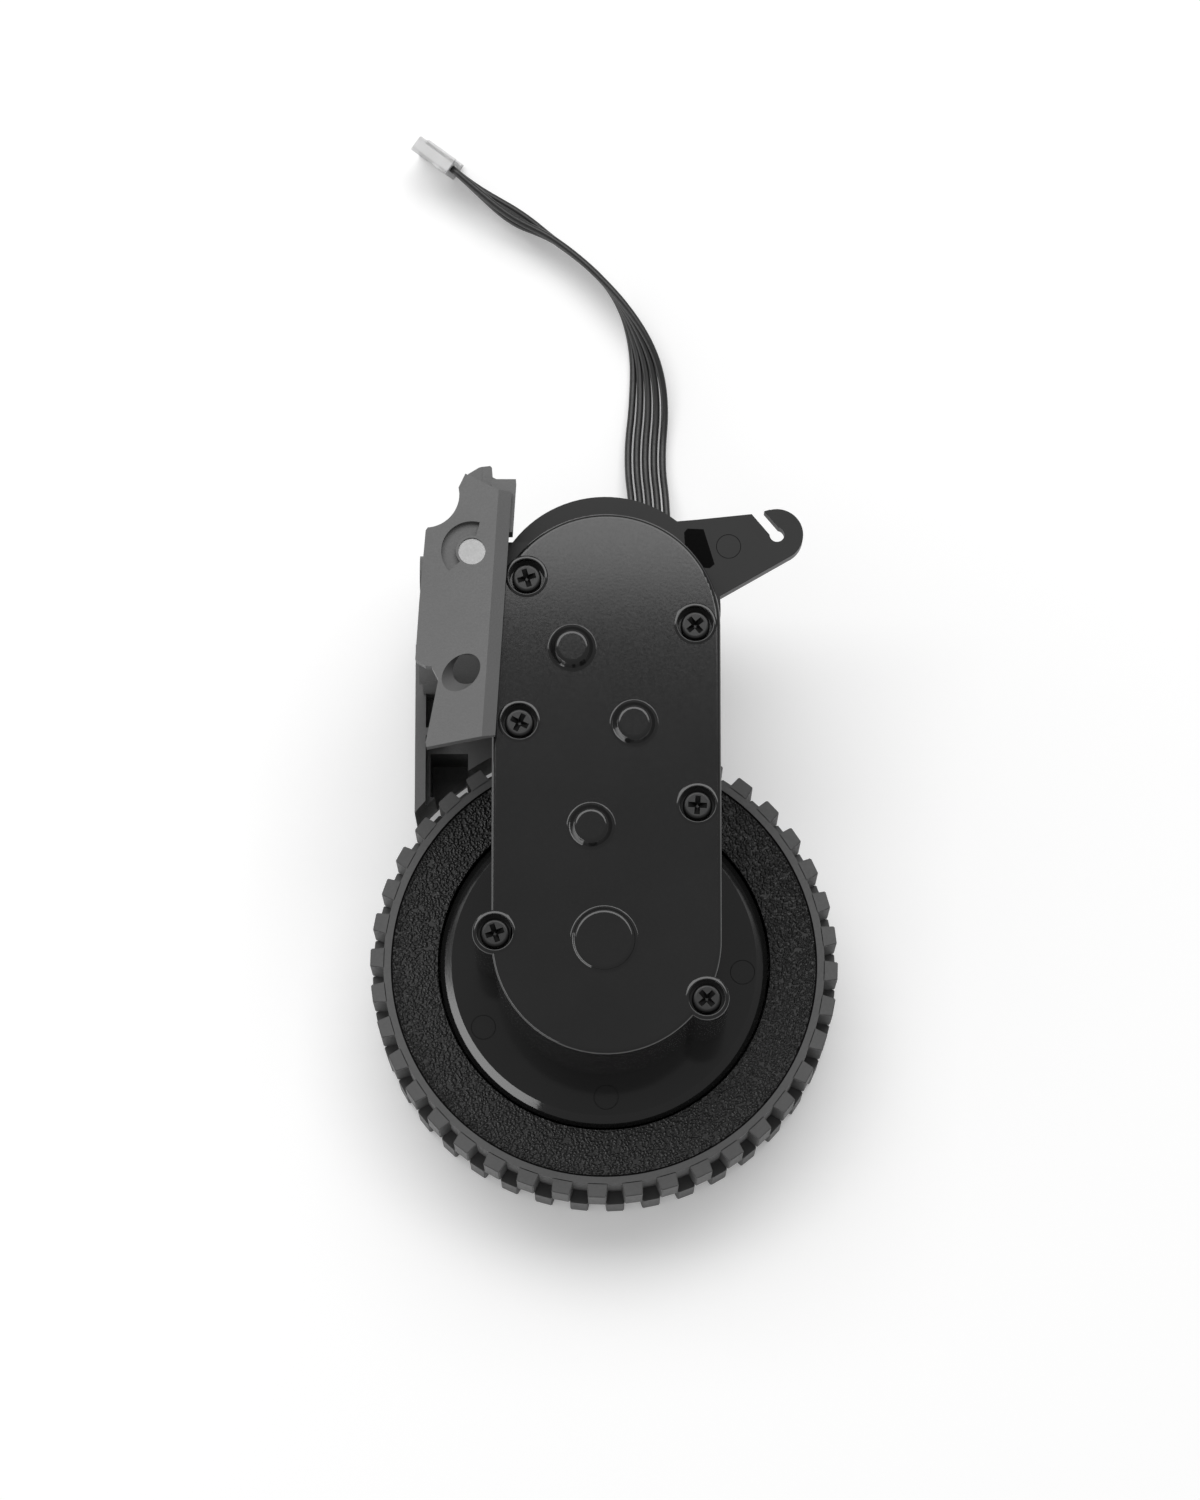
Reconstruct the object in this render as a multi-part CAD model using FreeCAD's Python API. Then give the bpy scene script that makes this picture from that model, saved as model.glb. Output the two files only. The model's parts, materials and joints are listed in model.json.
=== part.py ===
import FreeCAD, Part
import math
import os

from FreeCAD import Placement, Rotation, Vector

# Robot vacuum wheel module, lying on the outer face of its wheel.
# Origin: on the wheel's axis, in the plane of the wheel's outer face.
# +Z runs along the wheel's axis towards the gearbox, +Y from the wheel to the motor. Millimetres.

# Wheel
tyre_radius = 35.0
tyre_width = 19.5
lug_height = 1.9
lug_count = 40
lug_gap = 1.5
tyre_wall = 1.2
shoulder = 0.5
rim_wall = 1.7
ring_opening = 24.9
ring_recess = 0.2
ring_thick = 2.0
ring_skirt = 5.0
hub_face_recess = 0.8
hub_disc_thick = 2.0
hub_boss_radius = 6.0
hub_rib_count = 6
hub_rib_thick = 1.4
hub_cap_radius = 9.0
hub_cap_thick = 1.4
hub_cap_snap = 8.0
hub_cap_snap_wall = 0.8
hub_cap_snap_depth = 1.8

# Axle and its bearings
axle_radius = 2.0
bearing_radius = 4.5
bearing_width = 4.0
bearing_race = 0.75
bearing_balls = 7
bush_wall = 1.5
bush_length = 3.0
hub_screw_radius = 1.0
hub_screw_length = 6.0
hub_screw_head_radius = 2.6
hub_screw_head_height = 1.6

# Gearbox housing
wall = 1.5
floor_thick = 1.8
roof_thick = 1.8
housing_left = -16.4
housing_right = 17.1
housing_top = 63.55
base_bottom = 20.2
parting = 36.8
cover_top = 43.5
edge_round = 0.7
flange_radius = 24.5
flange_flat_radius = 22.8
flange_bevel = 1.6
flange_skirt = 3.4
flange_skirt_wall = 1.3
bearing_boss_wall = 2.3

# Cover screws, in the order left, right from the motor end to the wheel end
screw_places = ((-11.4, 54.0), (13.4, 46.9), (-12.4, 32.3), (13.65, 20.0), (-15.9, 1.1), (14.9, -8.5))
screw_radius = 0.95
screw_length = 8.0
screw_head_radius = 1.85
screw_head_height = 1.3
screw_ear_radius = 3.3
counterbore_radius = 2.6
counterbore_depth = 2.2
screw_boss_radius = 2.8
screw_clearance = 0.15
cross_width = 0.55
cross_length = 2.2
cross_depth = 0.9

# Gear train: tooth counts, modules and the directions from each shaft to the next one
pinion_teeth = (10, 18, 15, 12)
wheel_teeth = (34, 40, 40, 36)
gear_modules = (0.4, 0.5, 0.6, 0.7)
train_turns = (96.5, 67.6, 128.8, 56.3)
pressure_angle = math.radians(20.0)
gear_backlash = 0.12
root_clearance = 0.25
undercut_teeth = 17.0
gear_pin_radius = 1.0
running_gap = 0.05
side_gap = 0.4
wheel_face = 3.0
pinion_overlap = 0.4
gear_hub_wall = 1.3

# Motor
motor_radius = 12.2
motor_shell = 0.8
motor_face = 30.5
motor_length = 22.1
motor_cap_length = 2.8
motor_cap_lip = 1.0
motor_boss_radius = 3.5
motor_boss_height = 1.5
motor_shaft_radius = 1.0
motor_shaft_bottom = 3.4
motor_fit = 0.2
magnet_wall = 2.0
magnet_gap_angle = 40.0
magnet_margin = 3.0
motor_screw_pitch = 8.0
motor_screw_turn = 4.0
encoder_radius = 4.0
encoder_width = 1.4
board_thick = 1.0
board_inner = 5.0
board_outer = 11.6
board_lift = 4.0
terminal_size = (2.4, 0.5)
terminal_pitch = 8.4
sensor_size = (3.0, 1.6, 0.8)
collar_radius = 17.1
collar_thick = 2.0
bay_wall = 1.55
motor_cover_bottom = 1.6
motor_cover_floor = 1.4
motor_cover_wall = 1.5
motor_cover_seat = 20.2

# Cable, its outlet in the motor cover and its plug
cable_diameter = 2.6
cable_exit = (7.2, 66.0, 3.6)
outlet_width = 7.6
outlet_height = 4.4
outlet_wall = 1.0
grommet_lip = 0.6

# Bracket and pivot
pivot = (-19.4, 57.2)
pivot_radius = 2.0
pivot_swing = 22.0
knuckle_radius = 3.7
knuckle_bottom = 23.0
knuckle_top = 39.9
knuckle_web = 6.0
plate_bottom = 44.0
plate_thick = 2.2
plate_chamfer = 1.2
shelf_bottom = 12.6
shelf_thick = 2.0
bracket_bottom = 2.5
bracket_wall = 1.6
pivot_boss_radius = 3.7
tyre_clearance = 1.7
side_x = -28.5
side_top = 19.0
pocket_box = ((-26.3, 26.3), (-20.6, 33.0))
access_hole = (-20.9, 39.0)
access_radius = 2.3
access_tilt = 45.0
crescent_radius = 4.5
crescent_depth = 0.9
chassis_hole_radius = 1.3
chassis_hole_pitch = 14.0
chassis_hole_y = 51.0
chassis_face = -27.6
chassis_boss_radius = 2.8
chassis_boss_depth = 4.0
chassis_hole_z = 27.0

# Spring arm
arm_thick = 2.4
hook_centre = (25.7, 61.9)
hook_radius = 3.9
hook_eye = 1.1
hook_gap = 1.7


# Shared solids


def rod(centre, radius, bottom, top):
    return Part.makeCylinder(radius, top - bottom, Vector(centre[0], centre[1], bottom))


def tube(centre, outer, inner, bottom, top):
    return rod(centre, outer, bottom, top).cut(rod(centre, inner, bottom, top))


def block(low, high, bottom, top):
    return Part.makeBox(high[0] - low[0], high[1] - low[1], top - bottom, Vector(low[0], low[1], bottom))


def prism(points, bottom, top):
    corners = [Vector(x, y, bottom) for x, y in points]
    return Part.Face(Part.makePolygon(corners + corners[:1])).extrude(Vector(0, 0, top - bottom))


def turned(profile, centre=(0.0, 0.0)):
    corners = [Vector(centre[0] + r, centre[1], z) for r, z in profile]
    face = Part.Face(Part.makePolygon(corners + corners[:1]))
    return face.revolve(Vector(centre[0], centre[1], 0), Vector(0, 0, 1), 360)


def polar(centre, radius, turn):
    angle = math.radians(turn)
    return (centre[0] + radius * math.cos(angle), centre[1] + radius * math.sin(angle))


def around(shape, count, centre=(0.0, 0.0)):
    copies = []
    for i in range(count):
        copy = shape.copy()
        copy.rotate(Vector(centre[0], centre[1], 0), Vector(0, 0, 1), 360.0 * i / count)
        copies.append(copy)
    return copies


def fused(shapes):
    return shapes[0].multiFuse(shapes[1:]).removeSplitter()


def save(name, shape):
    shape.exportStep("parts/" + name + ".step")


# Places worked out from the driving dimensions

axle_place = (0.0, 0.0)
rim_radius = tyre_radius - lug_height - tyre_wall
tread_root = tyre_radius - lug_height
bore_rim = rim_radius - rim_wall
ring_top = tyre_width - ring_recess
ring_bottom = ring_top - ring_thick
housing_mid = (housing_left + housing_right) / 2
housing_half = (housing_right - housing_left) / 2
housing_low = 0.0
arc_centre = (housing_mid, housing_top - housing_half)
floor_top = base_bottom + floor_thick
deck_bottom = motor_face + motor_fit
deck_top = deck_bottom + wall
roof = cover_top - roof_thick
distances = [m * (a + b) / 2 for m, a, b in zip(gear_modules, pinion_teeth, wheel_teeth)]
third_shaft = polar(axle_place, distances[3], train_turns[0])
second_shaft = polar(third_shaft, distances[2], train_turns[1])
first_shaft = polar(second_shaft, distances[1], train_turns[2])
motor_place = polar(first_shaft, distances[0], train_turns[3])
shafts = (motor_place, first_shaft, second_shaft, third_shaft, axle_place)
layer = (roof - floor_top - side_gap) / 4
# Bottoms of the four gear layers, from the motor pinion down to the output gear
layer_bottoms = [floor_top + 1.0 + layer * k for k in (3, 2, 1, 0)]
face_height = layer - 2 * side_gap
bearing_top = base_bottom - flange_skirt + 0.4
bearing_bottom = bearing_top - bearing_width
plate_top = plate_bottom + plate_thick
shelf_top = shelf_bottom + shelf_thick


# Wheel


def lug_row(phase, bottom, top):
    half_gap = math.degrees(lug_gap / 2 / tread_root)
    pitch = 360.0 / lug_count
    points = []
    for i in range(lug_count):
        start = i * pitch + phase
        points.append(polar(axle_place, tread_root, start + half_gap))
        points.append(polar(axle_place, tyre_radius, start + half_gap))
        points.append(polar(axle_place, tyre_radius, start + pitch - half_gap))
        points.append(polar(axle_place, tread_root, start + pitch - half_gap))
    return prism(points, bottom, top)


def tyre():
    middle = tyre_width / 2
    pitch = 360.0 / lug_count
    rows = lug_row(0.0, middle, tyre_width).fuse(lug_row(pitch / 2, 0.0, middle))
    crown = turned(((rim_radius, 0), (tyre_radius - shoulder, 0), (tyre_radius + 1, shoulder * 2),
                    (tyre_radius + 1, tyre_width - shoulder * 2), (tyre_radius - shoulder, tyre_width),
                    (rim_radius, tyre_width)))
    return rows.common(crown)


def wheel_hub():
    low = hub_face_recess
    inner = low + hub_disc_thick
    seat = inner + hub_screw_head_height
    boss_top = bearing_bottom
    shell = turned(((axle_radius, seat), (axle_radius, boss_top), (bearing_radius - bearing_race - 0.6, boss_top),
                    (bearing_radius - bearing_race - 0.6, boss_top - 2), (hub_boss_radius, boss_top - 2),
                    (hub_boss_radius, inner + 2.4), (hub_cap_radius + 1.4, inner + 2.4),
                    (hub_cap_radius + 1.4, inner), (bore_rim, inner), (bore_rim, ring_bottom),
                    (rim_radius, ring_bottom), (rim_radius, low), (hub_cap_radius, low),
                    (hub_cap_radius, hub_cap_thick), (hub_cap_snap, hub_cap_thick),
                    (hub_cap_snap, inner + 0.6), (hub_screw_head_radius + 0.2, inner + 0.6),
                    (hub_screw_head_radius + 0.2, inner), (hub_screw_head_radius + 0.2, seat)))
    rib = block((hub_cap_radius + 0.5, -hub_rib_thick / 2), (bore_rim + 0.3, hub_rib_thick / 2), inner - 0.2, inner + 5)
    return fused([shell] + around(rib, hub_rib_count))


def hub_ring():
    skirt_bottom = ring_bottom - ring_skirt
    return turned(((ring_opening, ring_bottom - 1.8), (ring_opening, ring_top), (rim_radius, ring_top),
                   (rim_radius, ring_bottom), (bore_rim, ring_bottom), (bore_rim, skirt_bottom),
                   (bore_rim - 1.2, skirt_bottom), (bore_rim - 1.2, ring_bottom),
                   (ring_opening + 1.2, ring_bottom), (ring_opening + 1.2, ring_bottom - 1.8)))


def hub_cap():
    inner = hub_cap_snap - hub_cap_snap_wall
    return turned(((0, 0), (hub_cap_radius - 0.4, 0), (hub_cap_radius, 0.4), (hub_cap_radius, hub_cap_thick),
                   (hub_cap_snap, hub_cap_thick), (hub_cap_snap, hub_cap_thick + hub_cap_snap_depth),
                   (inner, hub_cap_thick + hub_cap_snap_depth), (inner, hub_cap_thick), (0, hub_cap_thick)))


def hub_seat():
    return hub_face_recess + hub_disc_thick + hub_screw_head_height


def hub_screw():
    seat = hub_seat()
    head = rod(axle_place, hub_screw_head_radius, seat - hub_screw_head_height, seat)
    return head.fuse(rod(axle_place, hub_screw_radius, seat, seat + hub_screw_length)).removeSplitter()


def wheel_axle():
    seat = hub_seat()
    shaft = rod(axle_place, axle_radius, seat, roof)
    return shaft.cut(rod(axle_place, hub_screw_radius, seat, seat + hub_screw_length))


# Gears


def involute(angle):
    return math.tan(angle) - angle


def gear_outline(centre, teeth, module, turn, shift):
    pitch = module * teeth / 2
    base = pitch * math.cos(pressure_angle)
    tip = pitch + module * (1 + min(0.0, shift))
    root = pitch - module * (1 + root_clearance - shift)
    half = math.pi / (2 * teeth) + 2 * shift * math.tan(pressure_angle) / teeth - gear_backlash / (2 * pitch)

    def half_width(radius):
        if radius <= base:
            return half + involute(pressure_angle)
        return half + involute(pressure_angle) - involute(math.acos(base / radius))

    radii = (root, max(base, root + module / 4), max(pitch, base + module / 2), tip)
    points = []
    for i in range(teeth):
        middle = turn + 360.0 * i / teeth
        for radius in radii:
            points.append(polar(centre, radius, middle - math.degrees(half_width(radius))))
        for radius in reversed(radii):
            points.append(polar(centre, radius, middle + math.degrees(half_width(radius))))
    return points


def heading(start, end):
    return math.degrees(math.atan2(end[1] - start[1], end[0] - start[0]))


def tooth_shift(stage):
    return max(0.0, (undercut_teeth - pinion_teeth[stage]) / undercut_teeth)


def pinion(stage, bottom, top):
    centre = shafts[stage]
    turn = heading(centre, shafts[stage + 1])
    return prism(gear_outline(centre, pinion_teeth[stage], gear_modules[stage], turn, tooth_shift(stage)),
                 bottom, top)


def wheel(stage, bottom, top):
    centre = shafts[stage + 1]
    turn = heading(centre, shafts[stage]) + 180.0 / wheel_teeth[stage]
    return prism(gear_outline(centre, wheel_teeth[stage], gear_modules[stage], turn, -tooth_shift(stage)),
                 bottom, top)


def compound_gear(stage):
    centre = shafts[stage]
    low = layer_bottoms[stage]
    split = layer_bottoms[stage - 1]
    top = split + face_height
    root = gear_modules[stage - 1] * (wheel_teeth[stage - 1] / 2 - 1.6)
    web_inner = gear_pin_radius + running_gap + gear_hub_wall + 1.2
    dish = tube(centre, root - 1.0, web_inner, split + face_height * 0.6, top)
    hub = rod(centre, gear_pin_radius + running_gap + gear_hub_wall, split, roof - side_gap)
    body = fused([pinion(stage, low, split), wheel(stage - 1, split, top).cut(dish), hub])
    return body.cut(rod(centre, gear_pin_radius + running_gap, low, roof))


def output_gear():
    low = layer_bottoms[3]
    top = low + face_height
    root = gear_modules[3] * (wheel_teeth[3] / 2 - 1.6)
    dish = tube(axle_place, root - 1.2, axle_radius + 3.0, low + face_height * 0.6, top)
    hub = rod(axle_place, axle_radius + gear_hub_wall, low, roof - bush_length - side_gap)
    return wheel(3, low, top).cut(dish).fuse(hub).cut(rod(axle_place, axle_radius, low, roof)).removeSplitter()


def gear_pin(stage):
    foot = deck_bottom + 0.3 if stage == 1 else base_bottom + 0.3
    return rod(shafts[stage], gear_pin_radius, foot, roof + 1.2)


def bearing_outer():
    return tube(axle_place, bearing_radius, bearing_radius - bearing_race, bearing_bottom, bearing_top)


def bearing_inner():
    return tube(axle_place, axle_radius + bearing_race, axle_radius, bearing_bottom, bearing_top)


def bearing_ball_set():
    inner = axle_radius + bearing_race
    outer = bearing_radius - bearing_race
    radius = (outer - inner) / 2 - 0.02
    ball = Part.makeSphere(radius, Vector((inner + outer) / 2, 0, (bearing_bottom + bearing_top) / 2))
    return Part.makeCompound(around(ball, bearing_balls))


def axle_bush():
    bore = axle_radius + running_gap
    return tube(axle_place, bore + bush_wall, bore, roof - bush_length, roof)


# Housing


def housing_prism(offset, bottom, top, low_end=None):
    half = housing_half - offset
    mid = housing_mid
    sides = block((mid - half, housing_low if low_end is None else low_end), (mid + half, arc_centre[1]), bottom, top)
    shapes = [sides, rod(arc_centre, half, bottom, top)]
    if low_end is None:
        shapes.append(rod((mid, housing_low), half, bottom, top))
    return fused(shapes)


def ears(bottom, top):
    return [rod(place, screw_ear_radius, bottom, top) for place in screw_places]


def train_room(bottom, top):
    margin = 0.5
    room = [housing_prism(wall, bottom, top)]
    reach = gear_modules[3] * (wheel_teeth[3] / 2 + 1) + margin
    room.append(rod(axle_place, reach, bottom, top))
    return fused(room)


def screw_bosses(bottom, top):
    return [rod(place, screw_boss_radius, bottom, top) for place in screw_places]


def gearbox_cover():
    outer = fused([housing_prism(0.0, parting, cover_top)] + ears(parting, cover_top))
    rim = [e for e in outer.Edges if e.BoundBox.ZMin > cover_top - 0.01]
    outer = outer.makeFillet(edge_round, rim)
    room = train_room(parting, roof)
    posts = fused(ears(parting, roof))
    gears = rod(axle_place, gear_modules[3] * (wheel_teeth[3] / 2 + 1) + side_gap, parting, roof)
    shell = outer.cut(room.cut(posts.cut(gears)))
    for place in shafts[1:4]:
        shell = shell.fuse(turned(((0, cover_top), (3.2, cover_top), (2.3, cover_top + 1.2), (0, cover_top + 1.2)), place))
    shell = shell.fuse(turned(((0, cover_top), (4.6, cover_top), (4.2, cover_top + 0.6), (0, cover_top + 0.6)), axle_place))
    bush_seat = axle_radius + running_gap + bush_wall
    shell = shell.fuse(tube(axle_place, bush_seat + wall, bush_seat, roof - bush_length, roof))
    for place in shafts[1:4]:
        shell = shell.cut(rod(place, gear_pin_radius, roof, roof + 1.2))
    for place in screw_places:
        shell = shell.cut(rod(place, counterbore_radius, cover_top - counterbore_depth, cover_top + 1))
        shell = shell.cut(rod(place, screw_radius + screw_clearance, parting, cover_top))
    return shell.removeSplitter()


def spring_arm():
    top = parting
    low = parting - arm_thick
    edge = tangent_ring()
    plate = prism(edge, low, top)
    plate = plate.fuse(rod(hook_centre, hook_radius, low, top))
    slot_start = hook_centre
    slot_end = polar(hook_centre, hook_radius * 1.6, 130.0)
    slot = strip(slot_start, slot_end, hook_gap, low, top)
    plate = plate.cut(slot).cut(rod(hook_centre, hook_eye, low, top))
    window = prism(((12.6, 62.6), (14.6, 62.5), (16.2, 57.6), (15.6, 57.2)), low, top)
    return plate.cut(window)


def tangent_ring():
    return ((10.6, 63.9), (14.0, 64.2), (22.6, 65.1), (24.6, 65.7), (27.9, 65.1), (28.9, 59.7), (27.4, 58.4),
            (17.0, 52.4), (13.0, 54.0))


def strip(start, end, width, bottom, top):
    turn = heading(start, end)
    a = polar(start, width / 2, turn + 90)
    b = polar(start, width / 2, turn - 90)
    c = polar(end, width / 2, turn - 90)
    d = polar(end, width / 2, turn + 90)
    return prism((a, b, c, d), bottom, top)


def pivot_knuckle():
    web_low = pivot[1] + 2.8 - knuckle_web
    web = block((pivot[0], web_low), (-9.0, pivot[1] + 2.8), knuckle_bottom, knuckle_top)
    web = web.cut(housing_prism(-0.3, parting, cover_top)).cut(rod(screw_places[0], screw_ear_radius + 0.3, parting, cover_top))
    web = web.cut(rod(motor_place, motor_radius + motor_fit, base_bottom, deck_bottom))
    web = web.cut(housing_prism(wall, deck_bottom, cover_top))
    knuckle = rod(pivot, knuckle_radius, knuckle_bottom, knuckle_top)
    return knuckle.fuse(web).cut(rod(pivot, pivot_radius + running_gap, knuckle_bottom, knuckle_top))


def flange():
    low = base_bottom - flange_skirt
    step = base_bottom - floor_thick
    return turned(((0, step), (flange_radius - flange_skirt_wall, step), (flange_radius - flange_skirt_wall, low),
                   (flange_radius, low), (flange_radius, base_bottom - flange_bevel),
                   (flange_flat_radius, base_bottom), (0, base_bottom)))


def gearbox_base():
    outer = fused([housing_prism(0.0, base_bottom, parting)] + ears(base_bottom, parting) + [flange()])
    bay_radius = motor_radius + motor_fit
    outer = fused([outer, rod(motor_place, bay_radius + bay_wall, motor_cover_seat, parting),
                   rod(motor_place, collar_radius, parting - collar_thick, parting), pivot_knuckle(), spring_arm(),
                   rod(axle_place, bearing_radius + bearing_boss_wall, bearing_bottom, base_bottom)])
    bay_outer = rod(motor_place, bay_radius + wall, floor_top, deck_top)
    low_room = train_room(floor_top, deck_top).cut(bay_outer)
    low_room = low_room.common(block((-40, -40), (40, motor_place[1] - 7), floor_top, deck_top))
    room = low_room.fuse(train_room(deck_top, parting))
    bosses = fused(screw_bosses(floor_top, parting))
    gears = [rod(shafts[k + 1], gear_modules[k] * (wheel_teeth[k] / 2 + 1) + side_gap, layer_bottoms[k] - side_gap,
                 layer_bottoms[k] + layer) for k in range(4)]
    base = outer.cut(room.cut(bosses.cut(fused(gears))))
    for stage in (2, 3):
        base = base.fuse(rod(shafts[stage], gear_pin_radius + gear_hub_wall, floor_top, layer_bottoms[stage] - side_gap / 2))
    base = base.cut(rod(motor_place, bay_radius, base_bottom - 5, deck_bottom))
    base = base.cut(rod(motor_place, motor_boss_radius + 0.1, deck_bottom, deck_top))
    base = base.cut(rod(axle_place, bearing_radius, bearing_bottom, bearing_top))
    base = base.cut(rod(axle_place, axle_radius + 0.6, bearing_top, floor_top))
    base = base.cut(rod(shafts[1], gear_pin_radius, deck_bottom + 0.3, deck_top))
    for stage in (2, 3):
        base = base.cut(rod(shafts[stage], gear_pin_radius, base_bottom + 0.3, parting))
    for place in screw_places:
        base = base.cut(rod(place, screw_radius, screw_tip(), parting))
    for place in motor_screw_places():
        base = base.cut(rod(place, screw_radius + screw_clearance, deck_bottom, deck_top))
    return base.removeSplitter()


def screw_tip():
    return cover_top - counterbore_depth - screw_length


def cross_screw(place, seat, length, head_radius, head_height, radius):
    head = rod(place, head_radius, seat, seat + head_height)
    rim = [e for e in head.Edges if e.BoundBox.ZMin > seat + head_height - 0.01]
    head = head.makeFillet(head_height * 0.4, rim)
    shape = head.fuse(rod(place, radius, seat - length, seat))
    low = seat + head_height - cross_depth
    for size in ((cross_length, cross_width), (cross_width, cross_length)):
        corner = (place[0] - size[0] / 2, place[1] - size[1] / 2)
        far = (place[0] + size[0] / 2, place[1] + size[1] / 2)
        shape = shape.cut(block(corner, far, low, seat + head_height))
    return shape.removeSplitter()


def cover_screws():
    seat = cover_top - counterbore_depth
    return Part.makeCompound([cross_screw(place, seat, screw_length, screw_head_radius, screw_head_height, screw_radius)
                              for place in screw_places])


# Motor


def motor_screw_places():
    return [polar(motor_place, motor_screw_pitch, motor_screw_turn + turn) for turn in (0, 180)]


def motor_screws():
    return Part.makeCompound([cross_screw(place, deck_top, wall + 1.2, 1.8, 1.2, screw_radius)
                              for place in motor_screw_places()])


def motor_can():
    low = motor_face - motor_length
    can = rod(motor_place, motor_radius, low, motor_face).cut(
        rod(motor_place, motor_radius - motor_shell, low, motor_face - motor_shell * 1.5))
    boss = rod(motor_place, motor_boss_radius, motor_face - motor_shell * 1.5, motor_face + motor_boss_height)
    can = can.fuse(boss).cut(rod(motor_place, motor_shaft_radius + running_gap, low, motor_face + 3))
    for place in motor_screw_places():
        can = can.cut(rod(place, screw_radius, motor_face - 1.3, motor_face))
    return can.removeSplitter()


def motor_end_cap():
    top = motor_face - motor_length
    inner = motor_radius - motor_shell
    cap = rod(motor_place, motor_radius, top - motor_cap_length, top).fuse(
        rod(motor_place, inner, top, top + motor_cap_lip))
    return cap.cut(rod(motor_place, motor_shaft_radius + running_gap, 0, motor_face)).removeSplitter()


def motor_magnets():
    low = motor_face - motor_length + magnet_margin
    high = motor_face - magnet_margin
    outer = motor_radius - motor_shell
    ring = tube(motor_place, outer, outer - magnet_wall, low, high)
    gap = prism((motor_place, polar(motor_place, 30, 90 - magnet_gap_angle / 2),
                 polar(motor_place, 30, 90 + magnet_gap_angle / 2)), low, high)
    for turn in (0, 180):
        wedge = gap.copy()
        wedge.rotate(Vector(motor_place[0], motor_place[1], 0), Vector(0, 0, 1), turn)
        ring = ring.cut(wedge)
    return ring


def motor_shaft():
    return rod(motor_place, motor_shaft_radius, motor_shaft_bottom, layer_bottoms[0] + face_height)


def motor_pinion():
    body = pinion(0, layer_bottoms[0], layer_bottoms[0] + face_height)
    return body.cut(rod(motor_place, motor_shaft_radius, 0, cover_top))


def encoder_magnet():
    return tube(motor_place, encoder_radius, motor_shaft_radius, motor_shaft_bottom, motor_shaft_bottom + encoder_width)


def encoder_board():
    board = tube(motor_place, board_outer, board_inner, board_lift, board_lift + board_thick)
    slots = terminals_at(0.05)
    return board.cut(slots)


def terminals_at(margin):
    tabs = []
    for side in (-1, 1):
        x = motor_place[0] + side * terminal_pitch
        half = (terminal_size[1] / 2 + margin, terminal_size[0] / 2 + margin)
        tabs.append(block((x - half[0], motor_place[1] - half[1]), (x + half[0], motor_place[1] + half[1]),
                          board_lift - 0.5, motor_face - motor_length - motor_cap_length))
    return Part.makeCompound(tabs)


def hall_sensors():
    chips = []
    for turn in (60, 120):
        chip = block((board_inner + 0.2, -sensor_size[1] / 2), (board_inner + 0.2 + sensor_size[0], sensor_size[1] / 2),
                     board_lift + board_thick, board_lift + board_thick + 0.5)
        chip.rotate(Vector(0, 0, 0), Vector(0, 0, 1), turn)
        chip.translate(Vector(motor_place[0], motor_place[1], 0))
        chips.append(chip)
    return Part.makeCompound(chips)


def outlet_block(margin, start, end):
    half = outlet_width / 2 + margin
    tall = outlet_height / 2 + margin
    x, _, z = cable_exit
    return block((x - half, start), (x + half, end), z - tall, z + tall)


def motor_cover():
    inner = motor_radius + motor_fit
    outer = inner + motor_cover_wall
    low = motor_cover_bottom
    cup = turned(((0, low), (outer - 0.8, low), (outer, low + 0.8), (outer, motor_cover_seat), (inner, motor_cover_seat),
                  (inner, low + motor_cover_floor), (0, low + motor_cover_floor)), motor_place)
    snout = outlet_block(outlet_wall - 0.3, motor_place[1] + 8, cable_exit[1] - 1.2)
    snout = snout.common(block((-40, -40), (40, 100), low, motor_cover_seat)).cut(rod(motor_place, inner, 0, 40))
    cup = cup.fuse(snout)
    cup = cup.cut(outlet_block(-outlet_wall / 2, motor_place[1] + 8, cable_exit[1]))
    for place in cover_lug_places():
        cup = cup.fuse(rod(place, 2.6, motor_cover_seat - 3, motor_cover_seat).cut(rod(motor_place, inner, 0, 40)))
        cup = cup.cut(rod(place, screw_radius + screw_clearance, 0, motor_cover_seat))
    return cup.removeSplitter()


def cover_lug_places():
    return [polar(motor_place, motor_radius + 4.2, turn) for turn in (35, 90)]


def cable_grommet():
    start = cable_exit[1] - 3.0
    grommet = outlet_block(-outlet_wall / 2, start, cable_exit[1] - 1.2)
    lip = outlet_block(-0.2, cable_exit[1] - 1.2, cable_exit[1])
    return grommet.fuse(lip).removeSplitter()


# Bracket


def bracket_outline():
    return ((-20.4, 68.9), (-15.6, 66.5), (-13.6, 66.4), (-15.9, 29.9), (-25.9, 27.9), (-26.0, 28.6), (-24.2, 38.0),
            (-25.2, 39.9), (-26.1, 40.0), (-27.6, 41.0), (-27.05, 49.9), (-26.2, 60.3), (-25.9, 60.75))


def bracket_face(offset_x, bottom, top):
    points = bracket_outline()
    corners = [Vector(x, y, bottom) for x, y in points]
    first = corners[-1]
    last = Vector(-21.4, 66.8, bottom)
    edges = [Part.Arc(first, Vector(-22.1, 63.0, bottom), last).toShape(), Part.LineSegment(last, corners[0]).toShape()]
    for a, b in zip(corners[:-1], corners[1:]):
        edges.append(Part.LineSegment(a, b).toShape())
    face = Part.Face(Part.Wire(Part.__sortEdges__(edges)))
    if offset_x:
        face = face.makeOffset2D(-offset_x)
    return face.extrude(Vector(0, 0, top - bottom))


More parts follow.
